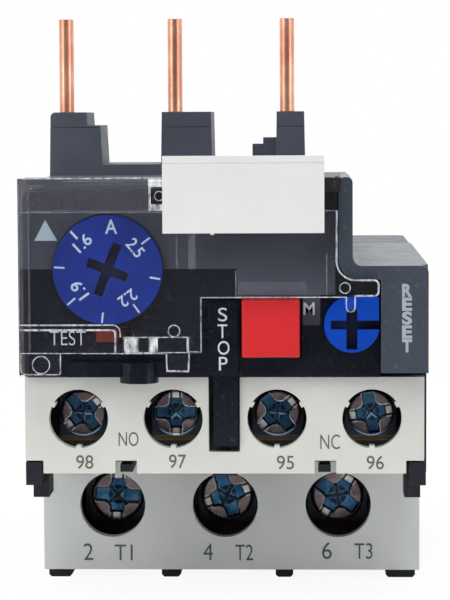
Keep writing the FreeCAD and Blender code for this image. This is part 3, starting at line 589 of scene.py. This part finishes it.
# %% Seven screws with the full relief
RING_COUNT, RING_STEPS = 46, 200
HEAD_BACK, UNDER_HEAD = 1.7, 1.72
SHANK_SHARE, TIP_SHARE, TIP_LENGTH = 0.66, 0.7, 0.3
# The lip and ridge zones carry painted highlights.
ZONES = {LAND: zinc, CROSS: zinc_blue, SLOT: zinc_pale, RIDGE: zinc_glint, LIP: lip_highlight_zinc}


def screw(node, body, turn):
    """A screw with a full head relief in place of the plain one; turn is the slot's clock angle."""
    low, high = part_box(node)
    x, z = middle(node)
    radius = (high.x - low.x) / 2 / MM - 0.01
    front = low.y / MM + 0.01
    end = high.y / MM - front
    lean = math.radians(turn)
    made = bmesh.new()

    def ring_at(out, depth_of):
        """A ring of vertices at a distance from the axis, each with its zone."""
        row = []
        for k in range(RING_STEPS):
            angle = 2 * math.pi * k / RING_STEPS
            right, up = out * math.cos(angle), out * math.sin(angle)
            depth, zone = depth_of(right, up)
            row.append((made.verts.new(((x + right) * MM, (front + depth) * MM, (z + up) * MM)), zone))
        return row

    def on_head(right, up):
        """Depth and zone on the head: the recess, and the rolled rim that falls away."""
        out = math.hypot(right, up)
        u = right * math.cos(lean) - up * math.sin(lean)
        v = right * math.sin(lean) + up * math.cos(lean)
        depth, zone = recess(u, v, radius)
        rim = max(0.0, out - RIM_START * radius) / (RIM_WIDTH * radius)
        return depth + RIM_DROP * (1 - math.sqrt(max(0.0, 1 - min(1.0, rim) ** 2))), zone

    grid = [ring_at(radius * (ring + 0.001) / RING_COUNT, on_head) for ring in range(RING_COUNT + 1)]
    shank = SHANK_SHARE * radius
    behind = ((radius, HEAD_BACK), (shank, UNDER_HEAD), (shank, end - TIP_LENGTH), (TIP_SHARE * shank, end))
    for out, depth in behind:
        grid.append(ring_at(out, lambda right, up, depth=depth: (depth, LAND)))
    for inner, outer in zip(grid, grid[1:]):
        for k in range(RING_STEPS):
            after = (k + 1) % RING_STEPS
            face = made.faces.new((inner[k][0], outer[k][0], outer[after][0], inner[after][0]))
            face.material_index = inner[k][1]
            face.smooth = True
    made.faces.new([corner[0] for corner in grid[-1]])
    mesh = bpy.data.meshes.new(node + "_detailed")
    made.to_mesh(mesh)
    made.free()
    for material in ZONES.values():
        mesh.materials.append(material)
    piece = bpy.data.objects.new(node + "_detailed", mesh)
    bpy.context.collection.objects.link(piece)
    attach(piece, body)
    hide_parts(node)


for phase, turn in (("1", 3), ("2", 71), ("3", 35)):
    screw("power_screw_" + phase, "screw_t" + phase, turn)
for mark, turn in (("98", 51), ("97", 0), ("95", 52), ("96", 81)):
    screw("aux_screw_" + mark, "screw_" + mark, turn)
print("seven combination screws")

# %% [markdown]
# ## Printed marks
# Function words and terminal numbers are needed to wire a relay, so they are part of how it looks. A
# print is a very thin solid laid on its face. The letters come from the built-in font, and are then
# squeezed to the measured width and height, because the lettering on such housings is narrow.

# %% Letters and flat marks
INK_SCALE = 2400
WORN_INK = (0.35, 0.35, 0.35)
PRINT_THICK = 0.02


def ink(name, colour):
    """Printing ink: even colour with a few thin places."""
    finish = Finish(name)
    thin = finish.spread(finish.noise(INK_SCALE, 3), 0.0, 0.12, 0.5, 0.75)
    finish.link(finish.mix(thin, colour, WORN_INK), finish.shader.inputs["Base Color"])
    finish.shader.inputs["Roughness"].default_value = 0.55
    return finish.material


def show(name, mesh, finish, body):
    """Puts a finished mesh in the scene, riding on a body."""
    mesh.materials.clear()
    mesh.materials.append(finish)
    piece = bpy.data.objects.new(name, mesh)
    bpy.context.collection.objects.link(piece)
    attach(piece, body)


def letters(text, place, size, front, finish, body="root", turn=0.0, bold=0.0, thick=PRINT_THICK):
    """Letters on a face: place and size are (x, z) and (width, height) in mm, turn is in degrees."""
    font = bpy.data.curves.new("font_" + text, "FONT")
    font.body = text
    font.offset = bold
    font.extrude = 0.5  # one unit deep in all, so the scale below is the thickness
    holder = bpy.data.objects.new("font_" + text, font)
    bpy.context.collection.objects.link(holder)
    mesh = bpy.data.meshes.new_from_object(holder.evaluated_get(bpy.context.evaluated_depsgraph_get()))
    bpy.data.objects.remove(holder)
    spots = [vertex.co for vertex in mesh.vertices]
    low = Vector([min(spot[axis] for spot in spots) for axis in range(3)])
    high = Vector([max(spot[axis] for spot in spots) for axis in range(3)])
    scale = Vector((size[0] / (high.x - low.x), size[1] / (high.y - low.y), thick))
    mesh.transform(Matrix.Translation(-(low + high) / 2))
    mesh.transform(Matrix.Diagonal((*(scale * MM), 1.0)))
    mesh.transform(Matrix.Rotation(-math.radians(turn), 4, "Z"))
    mesh.transform(Matrix.Rotation(math.radians(90), 4, "X"))
    mesh.transform(Matrix.Translation(Vector((place[0], front, place[1])) * MM))
    show("print_" + text.replace(" ", "_").replace(".", "_"), mesh, finish, body)


def flat_mark(name, outline, front, finish, body="root", thick=PRINT_THICK):
    """A thin plate with an (x, z) outline in mm, its back on the face at front."""
    made = bmesh.new()
    near = [made.verts.new((x * MM, (front - thick) * MM, z * MM)) for x, z in outline]
    far = [made.verts.new((x * MM, front * MM, z * MM)) for x, z in outline]
    made.faces.new(near)
    made.faces.new(far[::-1])
    count = len(outline)
    for k in range(count):
        made.faces.new((near[k], far[k], far[(k + 1) % count], near[(k + 1) % count]))
    bmesh.ops.recalc_face_normals(made, faces=made.faces)
    mesh = bpy.data.meshes.new(name)
    made.to_mesh(mesh)
    made.free()
    show(name, mesh, finish, body)


# %% Inks and terminal marks
pale_ink = ink("pale_blue_ink", (0.42, 0.50, 0.62))
dark_ink = ink("dark_brown_ink", (0.085, 0.075, 0.066))
grey_ink = ink("dark_grey_ink", (0.05, 0.055, 0.068))
arrow_ink = ink("arrow_ink", (0.34, 0.42, 0.48))
raised_ink = ink("raised_letter_ink", (0.27, 0.32, 0.375))
label_ink = ink("label_ink", (0.48, 0.50, 0.52))

AUX_MARKS = {"98": (-15.74, 16.65), "97": (-5.33, 16.73), "95": (6.73, 16.6), "96": (16.75, 16.6)}
for text, place in AUX_MARKS.items():
    letters(text, place, (1.93, 1.56), aux_front, dark_ink, bold=0.006)
letters("NO", (-10.81, 19.24), (2.24, 1.58), aux_front, dark_ink)
letters("NC", (11.72, 18.93), (2.2, 1.66), aux_front, dark_ink)
POWER_MARKS = {"2": (-17.17, 3.13), "4": (-2.79, 3.15), "6": (11.46, 3.32)}
for text, place in POWER_MARKS.items():
    letters(text, place, (1.16, 2.05), power_front, grey_ink)
PHASE_MARKS = {"T1": (-12.93, 3.05), "T2": (1.55, 3.08), "T3": (15.82, 3.27)}
for text, place in PHASE_MARKS.items():
    letters(text, place, (2.15, 1.92), power_front, grey_ink)
print("terminal marks on the covers")

# %% [markdown]
# The dial is read against a fixed arrow to its left. Its numbers stand with their tops outward, so
# each one is turned by the same clock angle that places it.

# %% Dial scale, arrow and the words on the panel
TICK_FROM, TICK_TO = 4.75, 5.9
THIN_TICK, BOLD_TICK = 0.2, 0.26
PRINT_GAP = 0.01


def on_dial(angle, radius):
    """The point (x, z) at a clock angle and radius on the dial."""
    lean = math.radians(angle)
    return dial_x + radius * math.sin(lean), dial_z + radius * math.cos(lean)


def tick(angle, width):
    """A radial line near the rim of the dial."""
    ends = [on_dial(angle, radius) for radius in (TICK_FROM, TICK_TO)]
    lean = math.radians(angle)
    side = Vector((math.cos(lean), -math.sin(lean))) * width / 2
    outline = [(ends[0][0] - side.x, ends[0][1] - side.y), (ends[1][0] - side.x, ends[1][1] - side.y),
               (ends[1][0] + side.x, ends[1][1] + side.y), (ends[0][0] + side.x, ends[0][1] + side.y)]
    flat_mark("dial_tick_" + str(round(angle)), outline, dial_front, pale_ink, "dial")


tick(316.5, BOLD_TICK)
for angle in (53, 100, 143.4, 186.4, 229.2, 273):
    tick(angle, THIN_TICK)
DIAL_NUMBERS = {"1.6": (317.8, 4.05), "2.5": (51.8, 3.95), "2.2": (144.5, 3.82), "1.9": (234.5, 3.82)}
for text, (angle, radius) in DIAL_NUMBERS.items():
    letters(text, on_dial(angle, radius), (2.0, 1.35), dial_front, pale_ink, "dial", turn=angle, bold=0.012)
letters("A", on_dial(5.3, 4.8), (1.35, 1.58), dial_front, pale_ink, "dial", bold=0.01)
arrow = [(-20.93, 41.57), (-18.39, 41.56), (-19.72, 43.85)]
flat_mark("setting_arrow", arrow, plate_front, arrow_ink)
letters("TEST", (-17.38, 30.71), (4.0, 1.58), panel_front, label_ink, bold=-0.012)
STOP_LETTERS = {
    "S": (-0.1, 33.42, 1.0),
    "T": (-0.13, 31.58, 1.07),
    "O": (-0.01, 29.74, 1.3),
    "P": (-0.06, 27.98, 0.95),
}
for letter, (x, z, width) in STOP_LETTERS.items():
    letters(letter, (x, z), (width, 1.5), bar_front, label_ink)
for letter, z in zip("RESET", (36.1, 34.58, 33.06, 31.54, 30.02)):
    letters(letter, (20.13, z), (1.1, 1.46), frame_front, raised_ink, bold=0.045, thick=0.1)
patch = [(8.7, 32.1), (10.65, 32.1), (10.65, 37.0), (8.7, 37.0)]
patch_thick = 0.03
flat_mark("mark_patch", patch, panel_front, plate_grey, thick=patch_thick)
letters("M", (9.41, 33.91), (1.22, 1.4), panel_front - patch_thick - PRINT_GAP, label_ink, bold=0.01)
print("words: TEST, STOP, M, RESET")

# %% [markdown]
# ## Bright lines in the clear cover
# Clear plastic shows itself by its lines. Every rim, groove and ejector mark gathers light from the
# whole sheet and sends it out in a line a tenth of a millimetre wide. The refraction of such a line
# is slow to render and easy to lose, so each one is laid on the cover as a thin pale strip, a painted
# highlight. The walls are the opposite: seen end-on, their whole depth swallows the light, so they get
# a dark veil of painted shade.

# %% Strips and arcs
SHARPEST_MITRE = 0.5


def strip_along(name, path, width, finish, front, body, closed=False):
    """A flat strip that follows a path of (x, z) points in mm; its corners are mitred."""
    points = [Vector(point) for point in path]
    count = len(points)
    made = bmesh.new()
    pairs = []
    for k, point in enumerate(points):
        before = points[k - 1] if k or closed else point
        after = points[(k + 1) % count] if k < count - 1 or closed else point
        first = (point - before).normalized() if point != before else (after - point).normalized()
        second = (after - point).normalized() if after != point else first
        side = Vector((-(first + second).y, (first + second).x)).normalized()
        side *= width / 2 / max(SHARPEST_MITRE, side.dot(Vector((-first.y, first.x))))
        spots = (point - side, point + side)
        pairs.append([made.verts.new((spot.x * MM, front * MM, spot.y * MM)) for spot in spots])
    for k in range(count if closed else count - 1):
        a, b = pairs[k], pairs[(k + 1) % count]
        made.faces.new((a[0], b[0], b[1], a[1]))
    bmesh.ops.recalc_face_normals(made, faces=made.faces)
    mesh = bpy.data.meshes.new(name)
    made.to_mesh(mesh)
    made.free()
    show(name, mesh, finish, body)


def bend(centre, radius, start, end, steps=6):
    """Points of an arc; angles in degrees, counted from +x towards +z."""
    turns = [math.radians(start + (end - start) * k / steps) for k in range(steps + 1)]
    return [(centre[0] + radius * math.cos(turn), centre[1] + radius * math.sin(turn)) for turn in turns]


print("a quarter turn is drawn through", len(bend((0, 0), 1, 0, 90)), "points")

# %% Painted highlight lines on the rims and grooves of the cover
cover_line = face_y("clear_cover") - 0.03
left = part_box("clear_cover")[0].x / MM
# Each line is a painted highlight along a rim, groove or step of the cover.
LINES = {
    "upper_band": ([(left + 0.2, 44.8), (-6.4, 44.8)], 0.08, faint_highlight_line),
    "top_edge": ([(left + 0.5, 48.5), (-6.4, 48.5)], 0.16, painted_highlight_line),
    "left_edge": ([(left + 0.12, 47.8), (left + 0.12, 27.3)], 0.1, faint_highlight_line),
    "groove_outer": ([(left + 0.1, 32.45), (-12.1, 32.45), *bend((-12.1, 31.6), 0.85, 90, 0),
                      (-11.25, 31.1)], 0.16, painted_highlight_line),
    "groove_inner": ([(left + 0.1, 31.9), (-12.2, 31.9), *bend((-12.2, 31.5), 0.4, 90, 0),
                      (-11.8, 29.4)], 0.2, painted_highlight_line),
    "foot": ([(-17.85, 29.35), (-17.85, 27.3), *bend((-18.15, 27.3), 0.3, 0, -90), (left + 0.7, 27.0),
              *bend((left + 0.7, 27.5), 0.5, -90, -180), (left + 0.2, 29.3)], 0.12, painted_highlight_line),
    "lower_edge": ([(left + 0.2, 29.35), (-6.35, 29.3)], 0.1, painted_highlight_line),
    "clip_top": ([(-10.9, 31.1), (-3.75, 31.1)], 0.1, painted_highlight_line),
    "clip_side": ([(-3.85, 31.15), (-3.85, 29.35)], 0.26, painted_highlight_line),
    "clip_bottom": ([(-10.9, 29.42), (-3.8, 29.42)], 0.1, painted_highlight_line),
    "tab": ([(-6.2, 29.3), (-6.15, 27.4), (-3.8, 27.35), (-3.72, 29.3)], 0.17, painted_highlight_line),
    "stop_step": ([(-3.7, 29.5), (-2.4, 29.5), (-2.4, 35.45), (1.4, 35.45), (13.45, 35.45)],
                  0.11, painted_highlight_line),
    "panel_corner": ([(1.45, 35.5), (1.45, 38.4)], 0.12, faint_highlight_line),
    "right_edge": ([(12.45, 44.9), (12.42, 39.5), *bend((14.5, 39.4), 2.1, 180, 270), (16.5, 37.3),
                    *bend((16.5, 36.8), 0.5, 90, 0), (17.0, 36.1),
                    *bend((16.5, 36.1), 0.5, 0, -90), (14.45, 35.6)], 0.2, painted_highlight_line),
    "tab_right": ([(14.45, 35.6), (14.42, 34.3), *bend((13.95, 34.3), 0.47, 0, -180), (13.48, 35.5)],
                  0.14, painted_highlight_line),
    "plate_line": ([(11.35, 40.3), (11.35, 35.6)], 0.07, faint_highlight_line),
    "corner_line": ([(11.2, 44.9), (12.4, 44.9)], 0.1, faint_highlight_line),
}
for name, (path, width, finish) in LINES.items():
    strip_along("cover_" + name, path, width, finish, cover_line, "cover")
print("cover lines:", len(LINES))

# %% Ejector marks, hazy areas and dark walls of the cover: painted highlights and painted shade
# Ejector marks are rings of painted highlight.
RINGS = {
    "foot": (-20.0, 28.07, 0.95),
    "clip": (-5.36, 31.79, 0.64),
    "arm": (13.33, 36.46, 0.58),
    "prism": (-6.9, 46.56, 0.5),
}
for name, (x, z, radius) in RINGS.items():
    circle = bend((x, z), radius, 0, 345, 23)
    strip_along("cover_ring_" + name, circle, 0.11, painted_highlight_line, cover_line, "cover", closed=True)
BEHIND_LINES = 0.012
# The prism and clip sheets are painted highlights and the wall sheets painted shade; the rib, streak and
# band sheets are faint tinted veils.
SHEETS = {
    "prism_top": (-8.05, -6.3, 47.55, 48.4, highlight_streaks),
    "prism_low": (-8.05, -6.3, 44.95, 45.65, highlight_streaks),
    "prism_side": (-8.05, -7.8, 45.65, 47.55, highlight_streaks),
    "clip_first": (-10.85, -9.25, 29.5, 31.0, highlight_streaks),
    "clip_second": (-8.15, -7.15, 29.5, 31.0, highlight_streaks),
    "rib": (1.7, 9.1, 35.55, 37.15, hazy),
    "streak_left": (-5.09, -4.9, 38.6, 42.4, warm_haze),
    "streak_right": (-3.75, -2.95, 38.6, 42.4, warm_haze),
    "band": (left + 1.1, -8.1, 44.85, 47.4, band_haze),
    "painted_wall_shade_low": (left, left + 1.1, 26.95, 38.6, painted_wall_shade_low),
    "painted_wall_shade_middle": (left, left + 1.1, 38.6, 44.85, painted_wall_shade_middle),
    "painted_wall_shade_band": (left, left + 1.1, 44.85, 48.5, painted_wall_shade_band),
    "top_wall_shade": (left + 1.1, -8.1, 47.4, 48.55, painted_wall_shade_band),
    "top_wall_shade_right": (10.9, 12.9, 46.9, 48.5, painted_wall_shade_low),
}
for name, (x0, x1, z0, z1, finish) in SHEETS.items():
    path = [(x0, (z0 + z1) / 2), (x1, (z0 + z1) / 2)]
    strip_along("cover_" + name, path, z1 - z0, finish, cover_line + BEHIND_LINES, "cover")
print("cover rings:", len(RINGS), "sheets:", len(SHEETS))

# %% [markdown]
# ## Light, backdrop and camera
# The relay stands in a light tent on pale paper. The paper looks white to the camera and fades out
# before its edge, so no horizon shows.

# %% Backdrop
FLOOR_HALF = 0.25
FADE_FROM, FADE_TO = 0.11, 0.24
FLOOR_GLOW = 0.92
floor_mesh = bpy.data.meshes.new("floor")
made = bmesh.new()
bmesh.ops.create_grid(made, x_segments=1, y_segments=1, size=FLOOR_HALF)
made.to_mesh(floor_mesh)
made.free()
floor = bpy.data.objects.new("floor", floor_mesh)
bpy.context.collection.objects.link(floor)
paper = Finish("pale_paper")
sheet = paper.mix(paper.noise(40), (0.93, 0.93, 0.93), (0.96, 0.96, 0.96))
paper.link(sheet, paper.shader.inputs["Base Color"])
paper.shader.inputs["Roughness"].default_value = 0.9
reach = paper.node("ShaderNodeVectorMath", operation="LENGTH")
paper.link(paper.place, reach.inputs[0])
gone = paper.spread(reach.outputs["Value"], 0.0, 1.0, FADE_FROM, FADE_TO)
open_air = paper.node("ShaderNodeBsdfTransparent")
glow = paper.node("ShaderNodeEmission")
seen_white = paper.node("ShaderNodeMixShader")
camera_ray = paper.node("ShaderNodeLightPath").outputs["Is Camera Ray"]
paper.link(paper.spread(camera_ray, 0.0, FLOOR_GLOW, 0.0, 1.0), seen_white.inputs["Fac"])
paper.link(paper.shader.outputs["BSDF"], seen_white.inputs[1])
paper.link(glow.outputs["Emission"], seen_white.inputs[2])
fading = paper.node("ShaderNodeMixShader")
paper.link(gone, fading.inputs["Fac"])
paper.link(seen_white.outputs["Shader"], fading.inputs[1])
paper.link(open_air.outputs["BSDF"], fading.inputs[2])
paper.link(fading.outputs["Shader"], paper.output.inputs["Surface"])
floor_mesh.materials.append(paper.material)
print("paper floor:", round(floor.dimensions.x, 2), "m wide")

# %% [markdown]
# The tent is white wherever the camera or a clear piece looks through, but the side where the camera
# stands is dark, so flat metal reflects grey while its rounded edges still catch white. A world
# shader can hold that difference in its directions.

# %% Light tent
DARK_SIDE = 0.13
world = bpy.data.worlds.new("light_tent")
bpy.context.scene.world = world
world.use_nodes = True
tent = world.node_tree
sky = tent.nodes["Background"]
sky.inputs["Strength"].default_value = 1.0
look = tent.nodes.new("ShaderNodeTexCoord")
split = tent.nodes.new("ShaderNodeSeparateXYZ")
tent.links.new(look.outputs["Generated"], split.inputs["Vector"])
rays = tent.nodes.new("ShaderNodeLightPath")


def tent_range(value, low, high, to_low, to_high):
    """Maps a direction's share onto a brightness."""
    made = tent.nodes.new("ShaderNodeMapRange")
    for name, number in zip(("From Min", "From Max", "To Min", "To Max"), (low, high, to_low, to_high)):
        made.inputs[name].default_value = number
    tent.links.new(value, made.inputs["Value"])
    return made.outputs["Result"]


def tent_mix(factor, first, second):
    """Blends two brightnesses; each is a number or an output."""
    made = tent.nodes.new("ShaderNodeMix")
    made.data_type = "FLOAT"
    tent.links.new(factor, made.inputs["Factor"])
    for socket, value in ((made.inputs[2], first), (made.inputs[3], second)):
        if isinstance(value, float):
            socket.default_value = value
        else:
            tent.links.new(value, socket)
    return made.outputs[0]


def tent_math(operation, first, second):
    """One arithmetic step between two outputs."""
    made = tent.nodes.new("ShaderNodeMath")
    made.operation = operation
    tent.links.new(first, made.inputs[0])
    tent.links.new(second, made.inputs[1])
    return made.outputs[0]


height = tent_range(split.outputs["Z"], -0.1, 0.8, 0.55, 1.05)
ahead = tent_range(split.outputs["Y"], -0.75, -0.35, 1.0, 0.0)
around_it = tent_mix(ahead, height, DARK_SIDE)
behind = tent_range(split.outputs["Y"], -0.1, 0.2, 0.0, 1.0)
clear_ray = tent_math("MAXIMUM", rays.outputs["Is Glossy Ray"], rays.outputs["Is Transmission Ray"])
seen = tent_math("MAXIMUM", rays.outputs["Is Camera Ray"], tent_math("MULTIPLY", clear_ray, behind))
tent.links.new(tent_mix(seen, around_it, 1.0), sky.inputs["Color"])
print("light tent:", len(tent.nodes), "nodes")

# %% Soft lights


def panel_light(name, place, target, size, power):
    """A square soft light at place, turned to target; both in metres."""
    lamp = bpy.data.lights.new(name, "AREA")
    lamp.shape = "SQUARE"
    lamp.size = size
    lamp.energy = power
    holder = bpy.data.objects.new(name, lamp)
    holder.location = place
    holder.rotation_euler = (Vector(target) - Vector(place)).to_track_quat("-Z", "Y").to_euler()
    bpy.context.collection.objects.link(holder)


centre = (0.0, -0.02, 0.03)
foot = (0.0, -0.03, 0.01)
panel_light("overhead_softbox", (0.0, -0.22, 0.52), centre, 0.4, 1.75)
panel_light("left_softbox", (-0.5, -0.42, 0.38), centre, 0.3, 1.5)
panel_light("right_softbox", (0.5, -0.42, 0.3), centre, 0.3, 0.6)
panel_light("high_front_softbox", (0.0, -0.55, 0.6), centre, 0.3, 0.5)
panel_light("low_left_softbox", (-0.42, -0.28, 0.06), foot, 0.1, 0.27)
panel_light("low_right_softbox", (0.42, -0.28, 0.06), foot, 0.1, 0.27)
print("soft lights:", len(bpy.data.lights))

# %% Camera
ROLL = math.radians(-0.29)
bpy.context.scene.view_settings.view_transform = "Standard"
lens = bpy.data.cameras.new("portrait_lens")
lens.lens = 141.07
lens.sensor_width = 36
lens.clip_start = 0.01
camera = bpy.data.objects.new("camera", lens)
bpy.context.collection.objects.link(camera)
eye = Vector((9.76, -290.0, 54.83)) * MM
aim = Vector((0.07, -29.5, 34.82)) * MM
turned = (aim - eye).to_track_quat("-Z", "Y").to_matrix().to_4x4()
camera.matrix_world = Matrix.Translation(eye) @ turned @ Matrix.Rotation(ROLL, 4, "Z")
bpy.context.scene.camera = camera
print("camera", round((aim - eye).length, 3), "m away")
